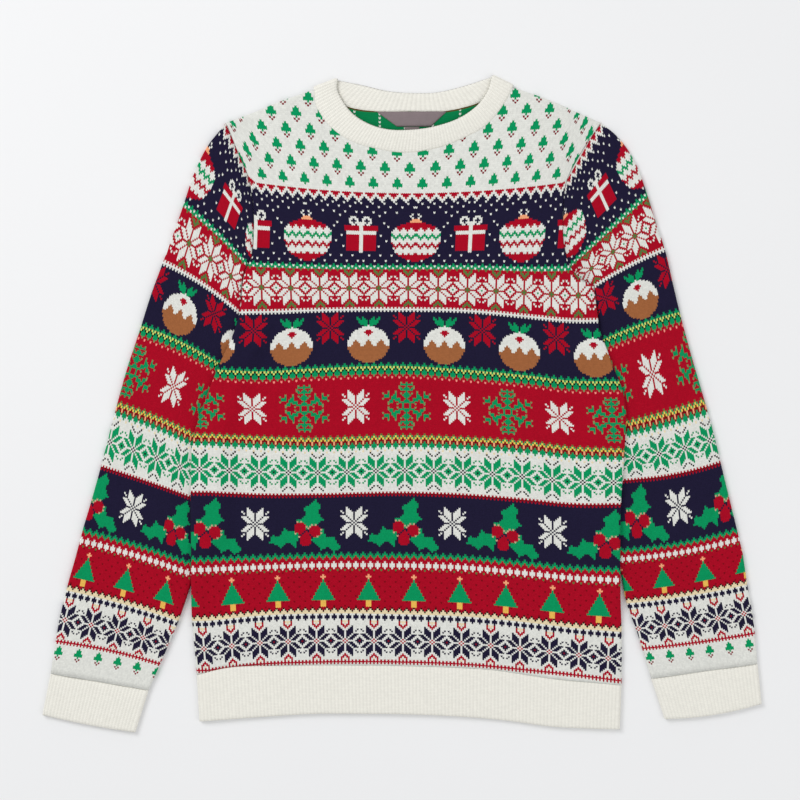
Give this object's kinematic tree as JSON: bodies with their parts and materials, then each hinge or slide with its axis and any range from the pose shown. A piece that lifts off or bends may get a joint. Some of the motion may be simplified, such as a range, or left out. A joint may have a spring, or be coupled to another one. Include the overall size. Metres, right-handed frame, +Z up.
{
  "type": "christmas sweater",
  "caption": "Crew-neck long-sleeved jacquard Christmas jumper laid flat, with cream rib collar, cuffs and hem, and banded winter motifs.",
  "frame": {"origin": "centre of the footprint on the surface that the jumper lies on", "axes": "+Z up from the surface, +Y from the hem to the neck, +X to the wearer's left across the sleeves"},
  "size_m": [0.778, 0.711, 0.0115],
  "materials": {
    "jacquard_knit": "matte knitted yarn in red, navy, green, cream, brown and yellow bands",
    "cream_rib": "matte ribbed knit",
    "label_satin": "woven satin ribbon, bare"
  },
  "bodies": {
    "root": {"front": "jacquard_knit", "back": "jacquard_knit", "sleeve_right": "jacquard_knit", "sleeve_left": "jacquard_knit", "hem_front": "cream_rib", "hem_back": "cream_rib", "cuff_right": "cream_rib", "cuff_left": "cream_rib", "collar": "cream_rib", "neck_label": "label_satin", "size_tab": "label_satin"}
  },
  "joints": []
}
